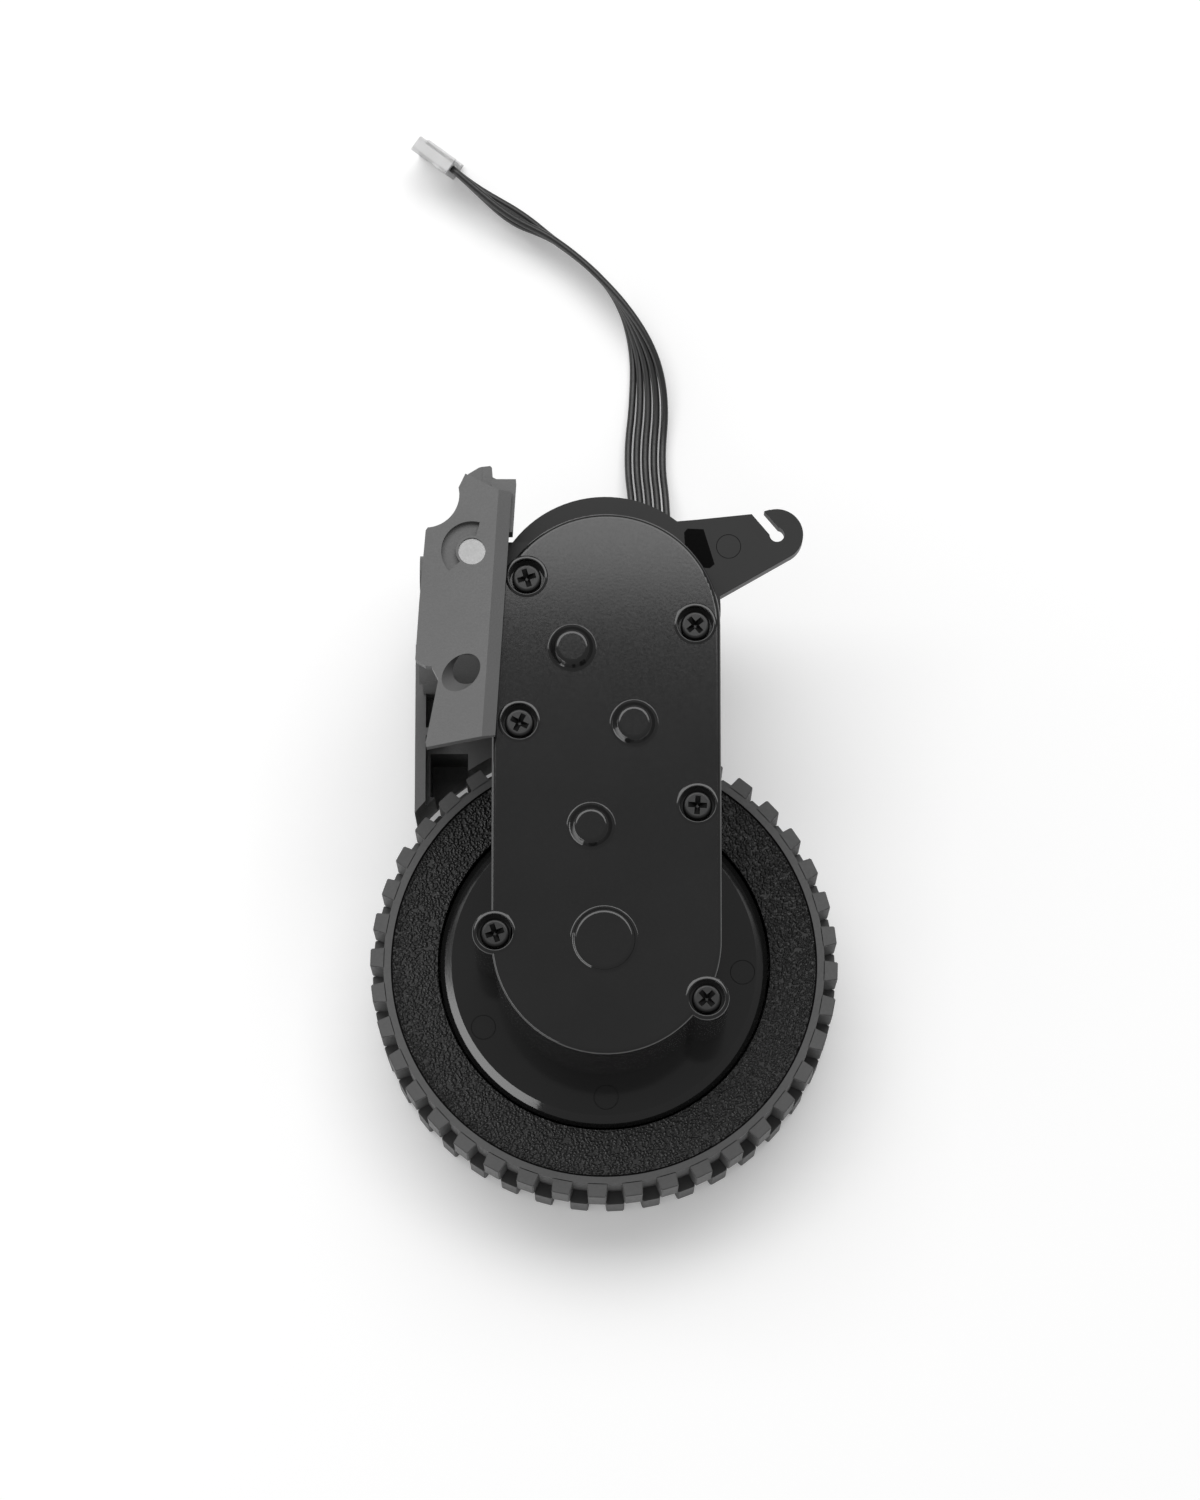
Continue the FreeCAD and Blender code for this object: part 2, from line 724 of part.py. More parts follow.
def front_plate():
    plate = bracket_face(0, plate_bottom, plate_top)
    top_edge = Vector(-13.6, 66.4, plate_top)
    low_edge = Vector(-15.9, 29.9, plate_top)
    run = (low_edge - top_edge).normalize()
    side = Vector(run.y, -run.x, 0)
    if side.x > 0:
        side = side.negative()
    start = top_edge - run * 5
    end = low_edge + run * 5
    wedge = [start - side * 0.6, start + side * 1.9, start - side * 0.6 - Vector(0, 0, plate_chamfer * 2.5 / 1.9)]
    face = Part.Face(Part.makePolygon([p + Vector(0, 0, 0.0) for p in wedge] + wedge[:1]))
    return plate.cut(face.extrude(end - start))


def shelf_outline_arc():
    return tyre_radius + tyre_clearance


def lower_part():
    reach = shelf_outline_arc()
    shelf = prism(((side_x, 22), (-16.0, 22), (-15.4, 45), (-15.0, 62), (-15.3, 67.0), (-20.4, 68.4), (-21.5, 66.0),
                   (-22.2, 63.0), (-26.0, 60.4), (side_x, 49.0)), shelf_bottom, shelf_top)
    tub = block((side_x, 22), (-16.2, 40.0), bracket_bottom, shelf_bottom)
    side = block((side_x, 22), (side_x + bracket_wall, 49.0), bracket_bottom, side_top)
    body = fused([shelf, tub, side])
    body = body.cut(rod(axle_place, reach, 0, side_top))
    low, high = pocket_box
    body = body.cut(block(low, high, bracket_bottom + bracket_wall, shelf_top))
    hollow = block((low[0], high[1] + bracket_wall), (-17.8, 38.4), bracket_bottom - 1, shelf_bottom)
    return body.cut(hollow)


def bracket():
    walls = bracket_face(0.3, shelf_top, plate_bottom).cut(bracket_face(0.3 + bracket_wall, shelf_top, plate_bottom))
    walls = walls.cut(block((-18.6, 20), (0, 65.2), shelf_top, plate_bottom))
    walls = walls.cut(block((-15.3, 20), (0, 80), shelf_top, plate_bottom))
    walls = walls.cut(block((-40, 20), (0, 41.4), shelf_top, plate_bottom))
    lip = prism(((-16.6, 60.6), (-13.5, 60.6), (-13.0, 68.6), (-16.6, 68.6)), 40.5, plate_bottom)
    horn = block((-18.0, 66.5), (-16.6, 71.0), 36.0, 41.5)
    stop = block((-27.0, 42.2), (-16.8, 43.8), shelf_top, plate_bottom)
    link = block((-27.0, 41.4), (-25.4, 49.0), bracket_bottom, plate_bottom)
    bosses = [rod(pivot, pivot_boss_radius, knuckle_top + 0.3, plate_bottom),
              rod(pivot, pivot_boss_radius, shelf_top, knuckle_bottom - 0.3)]
    shape = fused([front_plate(), walls, lower_part(), lip, horn, stop, link] + bosses)
    ribs = [block((side_x, y), (-25.4, y + 1.2), bracket_bottom, side_top) for y in (35.0, 41.4, 47.8)]
    shape = fused([shape] + ribs)
    shape = shape.cut(rod(pivot, pivot_radius, shelf_bottom, plate_top))
    tilt = Part.makeCylinder(access_radius, 12, Vector(0, 0, -6), Vector(0, 0, 1))
    tilt.rotate(Vector(0, 0, 0), Vector(1, -1, 0), access_tilt)
    tilt.translate(Vector(access_hole[0], access_hole[1], plate_top))
    tilt = tilt.common(block((-40, 20), (0, 60), plate_bottom - 0.1, plate_top + 3))
    shape = shape.cut(tilt)
    sector = prism((pivot, polar(pivot, 9, 75), polar(pivot, 12, 110), polar(pivot, 12, 145), polar(pivot, 12, 180),
                    polar(pivot, 9, 222)), plate_top - crescent_depth, plate_top)
    crescent = tube(pivot, crescent_radius, pivot_radius + 0.35, plate_top - crescent_depth, plate_top).common(sector)
    shape = shape.cut(crescent)
    for side in (-0.5, 0.5):
        start = Vector(chassis_face, chassis_hole_y + side * chassis_hole_pitch, chassis_hole_z)
        shape = shape.fuse(Part.makeCylinder(chassis_boss_radius, chassis_boss_depth, start, Vector(1, 0, 0)))
        shape = shape.cut(Part.makeCylinder(chassis_hole_radius, chassis_boss_depth, start, Vector(1, 0, 0)))
    return shape.removeSplitter()


def pivot_pin():
    return rod(pivot, pivot_radius, shelf_bottom, plate_top - 0.3)


# Cable and plug


cable_route = ((7.2, 66.0, 3.6), (7.2, 73.5, 3.6), (6.2, 82.0, 1.5), (7.2, 92.0, 1.5), (6.0, 100.5, 1.6), (1.4, 109.5, 2.2),
               (-7.0, 117.0, 2.9), (-16.5, 121.8, 3.6), (-23.2, 128.0, 3.6))
run_share = 0.45


def cable_path(route, print_radii=True):
    points = [Vector(*p) for p in route]
    edges = []
    start = points[0]
    radii = []
    for before, corner, after in zip(points[:-2], points[1:-1], points[2:]):
        into = (corner - before).normalize()
        away = (after - corner).normalize()
        cut = run_share * min((corner - before).Length, (after - corner).Length)
        half = into.getAngle(away) / 2
        radii.append(round(cut / math.tan(half), 1))
        a = corner - into * cut
        b = corner + away * cut
        middle = (a + b) / 2
        bulge = (corner - middle).normalize()
        sagitta = cut / math.tan(half) * (1 / math.cos(half) - 1)
        edges.append(Part.LineSegment(start, a).toShape())
        edges.append(Part.Arc(a, corner - bulge * sagitta, b).toShape())
        start = b
    edges.append(Part.LineSegment(start, points[-1]).toShape())
    if print_radii:
        print("cable bend radii", radii)
    return Part.Wire(edges)


def cable():
    path = cable_path(cable_route)
    along = Vector(*cable_route[1]) - Vector(*cable_route[0])
    circle = Part.Wire(Part.makeCircle(cable_diameter / 2, Vector(*cable_route[0]), along))
    shape = path.makePipeShell([circle], True, False)
    section = math.pi * cable_diameter ** 2 / 4
    print("cable length", round(path.Length, 2), "volume ratio", round(shape.Volume / (section * path.Length), 4))
    return shape


plug_size = (8.2, 4.4, 12.0)
plug_lean = 17.0


def plug_frame(shape):
    end = cable_route[-1]
    before = cable_route[-2]
    turn = heading(before, end)
    shape.rotate(Vector(0, 0, 0), Vector(1, 0, 0), plug_lean)
    shape.rotate(Vector(0, 0, 0), Vector(0, 0, 1), turn)
    low = shape.BoundBox.ZMin
    shape.translate(Vector(end[0], end[1], -low))
    return shape


def plug_housing():
    length, width, tall = plug_size
    return plug_frame(Part.makeBox(length, width, tall, Vector(0, -width / 2, 0)))


solids = {
    "tyre": tyre, "wheel_hub": wheel_hub, "hub_ring": hub_ring, "hub_cap": hub_cap, "hub_screw": hub_screw,
    "wheel_axle": wheel_axle, "output_gear": output_gear, "bearing_inner_ring": bearing_inner,
    "bearing_outer_ring": bearing_outer, "bearing_balls": bearing_ball_set, "axle_bush": axle_bush,
    "first_gear": lambda: compound_gear(1), "second_gear": lambda: compound_gear(2),
    "third_gear": lambda: compound_gear(3), "first_gear_pin": lambda: gear_pin(1),
    "second_gear_pin": lambda: gear_pin(2), "third_gear_pin": lambda: gear_pin(3),
    "gearbox_cover": gearbox_cover, "gearbox_base": gearbox_base, "cover_screws": cover_screws,
    "motor_screws": motor_screws, "motor_can": motor_can, "motor_end_cap": motor_end_cap,
    "motor_magnets": motor_magnets, "motor_shaft": motor_shaft, "motor_pinion": motor_pinion,
    "encoder_magnet": encoder_magnet, "encoder_board": encoder_board, "motor_terminals": lambda: terminals_at(0),
    "hall_sensors": hall_sensors, "motor_cover": motor_cover, "cable_grommet": cable_grommet,
    "bracket": bracket, "pivot_pin": pivot_pin, "cable": cable, "plug_housing": plug_housing,
}

os.makedirs("parts", exist_ok=True)
for name, make in solids.items():
    save(name, make())
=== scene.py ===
import json
import math

import bmesh
import bpy
from mathutils import Matrix, Vector


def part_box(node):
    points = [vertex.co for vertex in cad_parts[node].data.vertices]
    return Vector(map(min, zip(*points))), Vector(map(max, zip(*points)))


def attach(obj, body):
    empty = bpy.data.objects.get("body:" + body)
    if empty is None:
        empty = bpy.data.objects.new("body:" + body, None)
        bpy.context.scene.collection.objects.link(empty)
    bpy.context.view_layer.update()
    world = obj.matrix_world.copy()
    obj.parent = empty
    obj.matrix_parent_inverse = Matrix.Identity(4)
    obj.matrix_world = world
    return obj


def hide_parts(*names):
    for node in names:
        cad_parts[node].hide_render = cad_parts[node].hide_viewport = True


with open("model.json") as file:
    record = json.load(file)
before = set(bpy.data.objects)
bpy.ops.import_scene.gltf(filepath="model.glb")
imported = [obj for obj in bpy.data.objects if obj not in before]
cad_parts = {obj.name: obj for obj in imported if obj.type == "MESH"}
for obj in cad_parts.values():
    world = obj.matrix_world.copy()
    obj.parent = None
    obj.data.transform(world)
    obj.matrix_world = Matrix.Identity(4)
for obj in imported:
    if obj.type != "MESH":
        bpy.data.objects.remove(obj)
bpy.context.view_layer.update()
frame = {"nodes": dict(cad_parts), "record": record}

# Robot vacuum wheel module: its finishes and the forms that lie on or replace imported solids, in metres.

# Photograph's frame, and the camera that took it
IMAGE_WIDTH = 1200
FOCAL_PIXELS = 5300.0
SENSOR_WIDTH_MM = 36.0
CAMERA_TILT = math.radians(11.0)
CAMERA_PLACE = (-0.0006, -0.1198, 0.8038)
CLIP_START = 0.01
CLIP_END = 20.0

# Studio: an even dome, a wide softbox above the far side and a low strip from the left.
# A lamp is its name, its place, the point it looks at, its two sides and its power.
WORLD_STRENGTH = 0.36
LAMPS = (
    ("top_softbox", (-0.15, 0.985, 1.5), (-0.15, 0.985, 0.0), (2.2, 1.2), 29.5),
    ("low_strip", (-0.75, -0.28, 0.13), (0.0, 0.0, 0.03), (1.4, 0.14), 2.8),
)
FLOOR_HALF = 3
FLOOR_SHADE = 0.86
FLOOR_ROUGHNESS = 0.8
FLOOR_SPECULAR = 0.1
FLOOR_GLOW = 0.21

# Finishes: noise scales per metre, bump depths in metres
DRIFT_SCALE = 60.0
FINE_DETAIL = 6.0
LEATHER_CELLS = 2500.0
LEATHER_SMOOTHNESS = 0.6
LEATHER_WARP_SCALE = 500.0
LEATHER_WARP = 0.0007
LEATHER_DEPTH = 0.00036
# The gearbox base turns from polished to matt between these two places along y
MATT_START = 0.030
MATT_END = 0.040

# Meshes: facets round a turned form, steps of an arc or a bevel, and the radius taken as the axis itself
FACETS = 72
AXLE_BOSS_FACETS = 96
HEAD_FACETS = 48
THREAD_FACETS = 24
MARK_FACETS = 64
TYRE_FACETS = 160
ARC_STEPS = 4
BEVEL_STEPS = 2
ON_AXIS = 1e-7
# Angles in degrees above which an edge stays sharp
SHARP = 35.0
LUG_SHARP = 20.0
MARK_SHARP = 60.0
PLUG_SHARP = 40.0
ALL_SMOOTH = 180.0
# Share of the next straight after an arc where a ring holds the shading flat
HOLD_SHARE = 0.04

# Housing: the moulding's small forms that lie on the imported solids
PARTING = 0.0368
COVER_TOP = 0.0435
ARM_THICK = 0.0024
COUNTERBORE = 0.0026
RIM_WIDTH = 0.00030
RIM_RISE = 0.00010
RIM_INSET = 0.00002
RIM_ROUND = 0.00018
# A boss is its foot's radius, its top's radius and its height
PIN_BOSS = (0.0032, 0.0023, 0.0012)
AXLE_BOSS = (0.0046, 0.0042, 0.0006)
BOSS_SKIN = 0.00006
BOSS_ROUND = 0.00035
# The outline of the near-black sheet of painted shade over the pocket beside the arm, and how far it rises
# above the arm
ARM_POCKET = ((0.0119, 0.0622), (0.0124, 0.0628), (0.0148, 0.0627), (0.01640, 0.0574), (0.0157, 0.0568),
              (0.0122, 0.0570))
POCKET_RISE = 0.00005
ARM_MARK = (0.0185, 0.0601)
FLANGE_TOP = 0.0202
FLANGE_MARKS = ((-0.0180, -0.0096), (0.0003, -0.0201), (0.0207, -0.0013))
MARK_RADIUS = 0.0018
MARK_LINE = 0.00013
MARK_RISE = 0.000078

# Cover screws: pan heads with a cross recess that narrows to a near point
SCREW_PLACES = ((-0.0114, 0.0540), (0.0134, 0.0469), (-0.0124, 0.0323), (0.01365, 0.0200), (-0.0159, 0.0011),
                (0.0149, -0.0085))
SCREW_SEAT = COVER_TOP - 0.0022
SCREW_TIP = SCREW_SEAT - 0.0080
SCREW_HEAD_RADIUS = 0.00215
SCREW_HEAD_HEIGHT = 0.0013
SCREW_HEAD_ROUND = 0.0005
SCREW_SHANK = 0.00095
SCREW_CORE = 0.00070
SCREW_POINT = 0.00028
THREAD_PITCH = 0.0008
CROSS_REACH = 0.00148
CROSS_HALF = 0.00042
CROSS_FOOT_REACH = 0.000222
CROSS_FOOT_HALF = 0.000084
CROSS_DEPTH = 0.00125
CROSS_CLEARANCE = 0.0001
CROSS_TURN = 17.0
CROSS_TURN_STEP = 23.0

# Tyre: two staggered rows of tapered lugs on a thin carcass, and the painted shade in the seam beside the ring
TYRE_RADIUS = 0.0350
TYRE_WIDTH = 0.0195
RIM_RADIUS = 0.0319
TREAD_ROOT = 0.0330
LUG_COUNT = 40
LUG_GAP_ROOT = 0.0020
LUG_GAP_OPEN = 0.00285
LUG_PHASE = 2.8
LUG_SINK = 0.0002
MOULDED_EDGE = 0.00012
RING_TOP = 0.0193
# Width and rise of the near-black line of painted shade in the seam
SEAM_WIDTH = 0.00026
SEAM_RISE = 0.00004

# Bracket: the tip of its back wall
CHASSIS = "bracket"
TIP_OUTLINE = ((-0.0214, 0.0677), (-0.0202, 0.0700), (-0.0184, 0.0711), (-0.0167, 0.0713), (-0.0167, 0.0695),
               (-0.0138, 0.0683), (-0.0164, 0.0670), (-0.0200, 0.0670))
TIP_BOTTOM = 0.0380
TIP_TOP = 0.0414

# Flat cable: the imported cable's route, a little higher towards the plug, for wires that turn on edge half way
CABLE_ROUTE = ((0.0072, 0.0660, 0.0036), (0.0072, 0.0735, 0.0036), (0.0062, 0.0820, 0.0015),
               (0.0072, 0.0920, 0.0017), (0.0060, 0.1005, 0.0028), (0.0014, 0.1095, 0.0034),
               (-0.0070, 0.1170, 0.0034), (-0.0165, 0.1222, 0.0038), (-0.0235, 0.1283, 0.0043))
ROUTE_ORDER = 3
ROUTE_STEPS = 12
WIRE_COUNT = 5
WIRE_RADIUS = 0.00055
WIRE_PITCH = 0.00134
PACKED_PITCH = 0.00112
WIRE_FACETS = 12
TWIST_START = 0.24
TWIST_END = 0.64
TWIST_TURN = math.radians(102.0)
# Near the plug the wires part, each swaying out of the ribbon's plane in its own measure
SPREAD_START = 0.78
WIRE_SWAY = 0.0009
SWAY_FIRST = 0.6
SWAY_STEP = 2.3

# Plug: a five-way housing standing on its narrow edge, leaning back towards the wheel
PLUG_PITCH = 0.0015
PLUG_EDGE = 0.0010
PLUG_THICK = 0.0026
PLUG_LENGTH = 0.0068
PLUG_COLLAR = 0.001496
PLUG_RIB_LENGTH = 0.00544
PLUG_HEADING = math.radians(143.0)
PLUG_LEAN = math.radians(13.0)
PLUG_CAVITY = 0.00085
PLUG_WINDOW = 0.0011
PLUG_BEVEL = 0.00008
CONTACT_START = 0.0006
CONTACT_LENGTH = 0.0042
CONTACT_HALF = 0.000357
CONTACT_BEVEL = 0.00006


def grey(level):
    return level, level, level


def new_material(name):
    material = bpy.data.materials.new(name)
    material.use_nodes = True
    return material, material.node_tree.nodes, material.node_tree.links


def mapped_noise(nodes, links, scale, detail=4.0, roughness=0.55):
    coords = nodes.new("ShaderNodeTexCoord")
    noise = nodes.new("ShaderNodeTexNoise")
    noise.inputs["Scale"].default_value = scale
    noise.inputs["Detail"].default_value = detail
    noise.inputs["Roughness"].default_value = roughness
    links.new(coords.outputs["Object"], noise.inputs["Vector"])
    return noise


def ramp(nodes, links, source, low, high, start=0.3, end=0.7):
    """A value that goes from low to high while its source goes from start to end."""
    node = nodes.new("ShaderNodeMapRange")
    node.inputs["From Min"].default_value = start
    node.inputs["From Max"].default_value = end
    node.inputs["To Min"].default_value = low
    node.inputs["To Max"].default_value = high
    links.new(source, node.inputs["Value"])
    return node.outputs["Result"]


def colour_mix(nodes, links, factor, dark, light):
    node = nodes.new("ShaderNodeMix")
    node.data_type = "RGBA"
    node.inputs["A"].default_value = (*dark, 1)
    node.inputs["B"].default_value = (*light, 1)
    links.new(factor, node.inputs["Factor"])
    return node.outputs["Result"]


def add_bump(nodes, links, shader, height, depth):
    bump = nodes.new("ShaderNodeBump")
    bump.inputs["Distance"].default_value = depth
    links.new(height, bump.inputs["Height"])
    links.new(bump.outputs["Normal"], shader.inputs["Normal"])


def finish(name, dark, light, rough, grain, depth, metal=0.0, specular=0.5):
    """A moulded or metal surface: colour drift, fine grain in the bump and uneven roughness."""
    material, nodes, links = new_material(name)
    shader = nodes["Principled BSDF"]
    drift = mapped_noise(nodes, links, DRIFT_SCALE)
    fine = mapped_noise(nodes, links, grain, FINE_DETAIL)
    factor = ramp(nodes, links, drift.outputs["Fac"], 0.0, 1.0)
    links.new(colour_mix(nodes, links, factor, dark, light), shader.inputs["Base Color"])
    links.new(ramp(nodes, links, fine.outputs["Fac"], rough[0], rough[1]), shader.inputs["Roughness"])
    shader.inputs["Metallic"].default_value = metal
    shader.inputs["Specular IOR Level"].default_value = specular
    add_bump(nodes, links, shader, fine.outputs["Fac"], depth)
    return material


def leather_grain_with_crease_shade(name, dark, light, rough):
    """The ring's cast leather grain: rounded cells with creases between them, with painted shade that darkens
    the creases and lightens the cell tops.
    """
    material, nodes, links = new_material(name)
    shader = nodes["Principled BSDF"]
    coords = nodes.new("ShaderNodeTexCoord")
    warp = mapped_noise(nodes, links, LEATHER_WARP_SCALE)
    offset = nodes.new("ShaderNodeVectorMath")
    offset.operation = "MULTIPLY_ADD"
    offset.inputs[1].default_value = grey(LEATHER_WARP)
    links.new(warp.outputs["Color"], offset.inputs[0])
    links.new(coords.outputs["Object"], offset.inputs[2])
    cells = nodes.new("ShaderNodeTexVoronoi")
    cells.feature = "SMOOTH_F1"
    cells.inputs["Scale"].default_value = LEATHER_CELLS
    cells.inputs["Smoothness"].default_value = LEATHER_SMOOTHNESS
    links.new(offset.outputs["Vector"], cells.inputs["Vector"])
    distance = cells.outputs["Distance"]
    height = ramp(nodes, links, distance, 1.0, 0.0, start=0.1)
    # Painted shade: the base colour follows the cells' height, darker in the creases and lighter on the tops
    links.new(colour_mix(nodes, links, height, dark, light), shader.inputs["Base Color"])
    links.new(ramp(nodes, links, distance, rough[0], rough[1], start=0.0), shader.inputs["Roughness"])
    add_bump(nodes, links, shader, height, LEATHER_DEPTH)
    return material


def two_finishes():
    """The gearbox base: polished round the wheel, matt on the arm and the motor's collar."""
    material = finish("base_black", grey(0.009), grey(0.012), (0.08, 0.12), 2500.0, 0.000002)
    nodes, links = material.node_tree.nodes, material.node_tree.links
    shader = nodes["Principled BSDF"]
    coords = nodes.new("ShaderNodeTexCoord")
    axes = nodes.new("ShaderNodeSeparateXYZ")
    links.new(coords.outputs["Object"], axes.inputs["Vector"])
    for socket, polished, matt in (("Roughness", 0.09, 0.40), ("Specular IOR Level", 0.50, 0.25)):
        value = ramp(nodes, links, axes.outputs["Y"], polished, matt, MATT_START, MATT_END)
        links.new(value, shader.inputs[socket])
    return material


def nylon():
    """The plug's white plastic, which lets a little light through."""
    material = finish("nylon", grey(0.84), grey(0.92), (0.30, 0.42), 700.0, 0.00001)
    shader = material.node_tree.nodes["Principled BSDF"]
    shader.inputs["Transmission Weight"].default_value = 0.35
    shader.inputs["IOR"].default_value = 1.35
    return material


MATERIALS = {
    "housing": finish("glossy_black", grey(0.009), grey(0.012), (0.07, 0.11), 2500.0, 0.0000015),
    "base": two_finishes(),
    "bracket": finish("grey_matt", grey(0.118), grey(0.136), (0.50, 0.65), 3500.0, 0.00004),
    "rubber": finish("tyre_rubber", grey(0.068), grey(0.085), (0.50, 0.66), 2200.0, 0.000012),
    "ring": leather_grain_with_crease_shade("leather_grain_with_crease_shade", grey(0.006), grey(0.022), (0.20, 0.50)),
    # Painted shade: a near-black matt material laid where shade falls, in the pocket beside the arm and in the
    # seam beside the tyre
    "painted_shade": finish("painted_shade_black", grey(0.002), grey(0.004), (0.7, 0.85), 2500.0, 0.00001, specular=0.05),
    "black_matt": finish("black_matt", grey(0.012), grey(0.018), (0.35, 0.5), 2500.0, 0.00001),
    "screw": finish("black_oxide", grey(0.010), grey(0.016), (0.30, 0.42), 1800.0, 0.000004, metal=0.2),
    "steel": finish("ground_steel", grey(0.24), grey(0.30), (0.28, 0.40), 2600.0, 0.000003, metal=0.9),
    "brass": finish("brass", (0.60, 0.44, 0.20), (0.70, 0.53, 0.26), (0.25, 0.38), 2200.0, 0.000003,
                    metal=1.0),
    "gear": finish("acetal", (0.74, 0.73, 0.69), (0.82, 0.81, 0.77), (0.35, 0.45), 1800.0, 0.000003),
    "board": finish("solder_mask", (0.012, 0.10, 0.035), (0.018, 0.13, 0.05), (0.25, 0.35), 1500.0, 0.000003),
    "wire": finish("wire_jacket", grey(0.010), grey(0.016), (0.32, 0.45), 3000.0, 0.000006),
    "tin": finish("tinned_contact", (0.58, 0.57, 0.54), (0.66, 0.65, 0.62), (0.30, 0.42), 2600.0, 0.000003,
                  metal=0.9),
    "nylon": nylon(),
}

SLOT_MATERIALS = {
    "tyre": "rubber", "hub_plastic": "black_matt", "ring_plastic": "ring", "black_screw": "screw",
    "steel": "steel", "gear_plastic": "gear", "bronze": "brass", "housing_plastic": "housing",
    "zinc_steel": "steel", "ferrite": "black_matt", "brass": "brass", "board": "board", "chip": "black_matt",
    "cable_rubber": "wire", "bracket_plastic": "bracket", "nylon": "nylon",
}

NODE_MATERIALS = {"gearbox_base": "base"}


def dress_nodes():
    slots = {part["node"]: part["material_slot"] for part in frame["record"]["subparts"]}
    for name, obj in frame["nodes"].items():
        obj.data.materials.clear()
        obj.data.materials.append(MATERIALS[NODE_MATERIALS.get(name, SLOT_MATERIALS[slots[name]])])


def add_object(name, data):
    thing = bpy.data.objects.new(name, data)
    bpy.context.collection.objects.link(thing)
    return thing


def fill(data, mesh, sharp):
    """Moves a mesh under way into mesh data, with its faces turned outward and its sharp edges marked."""
    bmesh.ops.recalc_face_normals(mesh, faces=mesh.faces)
    mesh.to_mesh(data)
    mesh.free()
    data.shade_smooth()
    data.set_sharp_from_angle(angle=math.radians(sharp))


def loose_piece(name, mesh, material, sharp=SHARP):
    data = bpy.data.meshes.new(name)
    fill(data, mesh, sharp)
    data.materials.append(MATERIALS[material])
    return add_object(name, data)


def ridden_piece(name, mesh, material, sharp=SHARP, body="arm"):
    piece = loose_piece(name, mesh, material, sharp)
    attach(piece, body)
    return piece


def rounded_profile(points, radius):
    """A profile with every inner corner turned into a short arc, as a list of radius and height."""
    done = [Vector(points[0])]
    for before, corner, after in zip(points[:-2], points[1:-1], points[2:]):
        before, corner, after = Vector(before), Vector(corner), Vector(after)
        back = corner + (before - corner).normalized() * min(radius, (before - corner).length / 2)
        ahead = corner + (after - corner).normalized() * min(radius, (after - corner).length / 2)
        for step in range(ARC_STEPS + 1):
            share = step / ARC_STEPS
            done.append(back.lerp(corner, share).lerp(corner.lerp(ahead, share), share))
        done.append(ahead.lerp(after, HOLD_SHARE))
    return done + [Vector(points[-1])]


def turn_profile(mesh, profile, place, sides=FACETS):
    """Adds a profile of radius and height turned about an upright line to a mesh."""
    rings = []
    turns = [2 * math.pi * side / sides for side in range(sides)]
    for radius, height in profile:
        spot = Vector((place[0], place[1], height))
        if radius < ON_AXIS:
            rings.append([mesh.verts.new(spot)])
            continue
        rings.append([mesh.verts.new(spot + Vector((math.cos(a), math.sin(a), 0)) * radius) for a in turns])
    for low, high in zip(rings[:-1], rings[1:]):
        for side in range(sides):
            after = (side + 1) % sides
            corners = (low[side % len(low)], low[after % len(low)],
                       high[after % len(high)], high[side % len(high)])
            mesh.faces.new(dict.fromkeys(corners))


def join_rings(mesh, rings):
    """Adds the faces between rings of vertices that follow each other, and closes both ends."""
    for first, second in zip(rings[:-1], rings[1:]):
        for side in range(len(first)):
            after = (side + 1) % len(first)
            mesh.faces.new((first[side], first[after], second[after], second[side]))
    mesh.faces.new(reversed(rings[0]))
    mesh.faces.new(rings[-1])


def prism(mesh, outline, low, high):
    join_rings(mesh, [[mesh.verts.new((x, y, level)) for x, y in outline] for level in (low, high)])


def soften(mesh, offset):
    bmesh.ops.bevel(mesh, geom=mesh.edges[:], offset=offset, segments=BEVEL_STEPS, affect="EDGES")


def polar(radius, turn):
    return radius * math.cos(math.radians(turn)), radius * math.sin(math.radians(turn))


def make_tyre():
    mesh = bmesh.new()
    pitch = 360.0 / LUG_COUNT
    half_root = math.degrees(LUG_GAP_ROOT / 2 / TREAD_ROOT)
    half_open = math.degrees(LUG_GAP_OPEN / 2 / TYRE_RADIUS)
    foot = TREAD_ROOT - LUG_SINK
    rows = ((LUG_PHASE, TYRE_WIDTH / 2, TYRE_WIDTH), (LUG_PHASE + pitch / 2, 0.0, TYRE_WIDTH / 2))
    for phase, low, high in rows:
        for lug in range(LUG_COUNT):
            start = phase + lug * pitch
            end = start + pitch
            prism(mesh, (polar(foot, start + half_root), polar(TYRE_RADIUS, start + half_open),
                         polar(TYRE_RADIUS, end - half_open), polar(foot, end - half_root)), low, high)
    soften(mesh, MOULDED_EDGE)
    carcass = ((RIM_RADIUS, 0.0), (TREAD_ROOT, 0.0), (TREAD_ROOT, TYRE_WIDTH), (RIM_RADIUS, TYRE_WIDTH),
               (RIM_RADIUS, 0.0))
    turn_profile(mesh, carcass, (0.0, 0.0), TYRE_FACETS)
    tyre = ridden_piece("lugged_tyre", mesh, "rubber", LUG_SHARP, "wheel")
    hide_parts("tyre")


def make_rim_seam_shade():
    """Painted shade: a near-black line in the step between the tyre and the ring."""
    mesh = bmesh.new()
    inner = RIM_RADIUS - SEAM_WIDTH
    seam = ((inner, RING_TOP - SEAM_RISE), (inner, RING_TOP + SEAM_RISE), (RIM_RADIUS, RING_TOP + SEAM_RISE),
            (RIM_RADIUS, RING_TOP - SEAM_RISE))
    turn_profile(mesh, seam, (0.0, 0.0), TYRE_FACETS)
    ridden_piece("rim_seam_shade", mesh, "painted_shade", SHARP, "wheel")


def make_bracket_tip():
    mesh = bmesh.new()
    prism(mesh, TIP_OUTLINE, TIP_BOTTOM, TIP_TOP)
    soften(mesh, MOULDED_EDGE)
    ridden_piece("bracket_tip", mesh, "bracket", SHARP, CHASSIS)


def middle_of(node):
    low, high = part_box(node)
    return (low[0] + high[0]) / 2, (low[1] + high[1]) / 2


